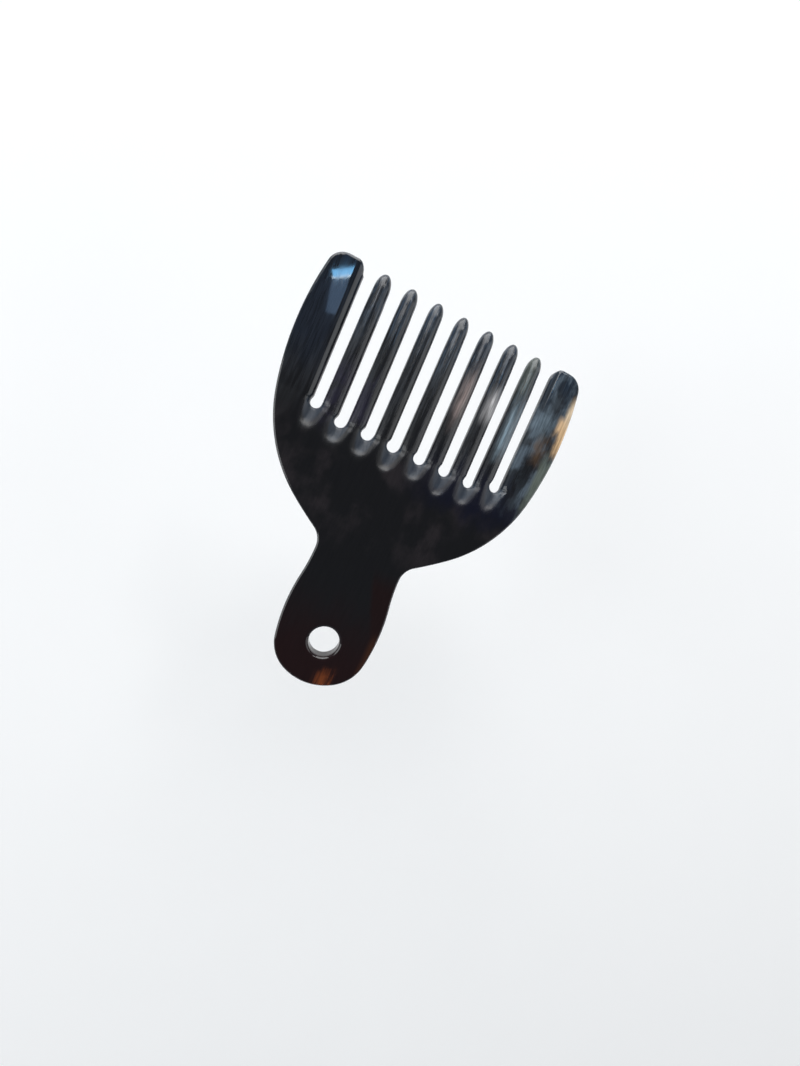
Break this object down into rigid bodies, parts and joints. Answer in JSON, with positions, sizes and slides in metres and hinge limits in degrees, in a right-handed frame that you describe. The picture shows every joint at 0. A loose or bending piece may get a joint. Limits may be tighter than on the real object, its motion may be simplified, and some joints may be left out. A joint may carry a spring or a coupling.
{
  "type": "beard comb",
  "caption": "Flat polished horn comb with wide guard teeth, a waisted neck and a rounded handle pierced by a hanging hole.",
  "frame": {"origin": "middle of the bounding box's underside: the comb lies flat on its back face", "axes": "+Y from the handle to the tips of the teeth, +X across the teeth, +Z out of the front face"},
  "size_m": [0.056, 0.0776, 0.0035],
  "materials": {
    "horn": "polished"
  },
  "bodies": {
    "root": {"comb": "horn"}
  },
  "joints": []
}
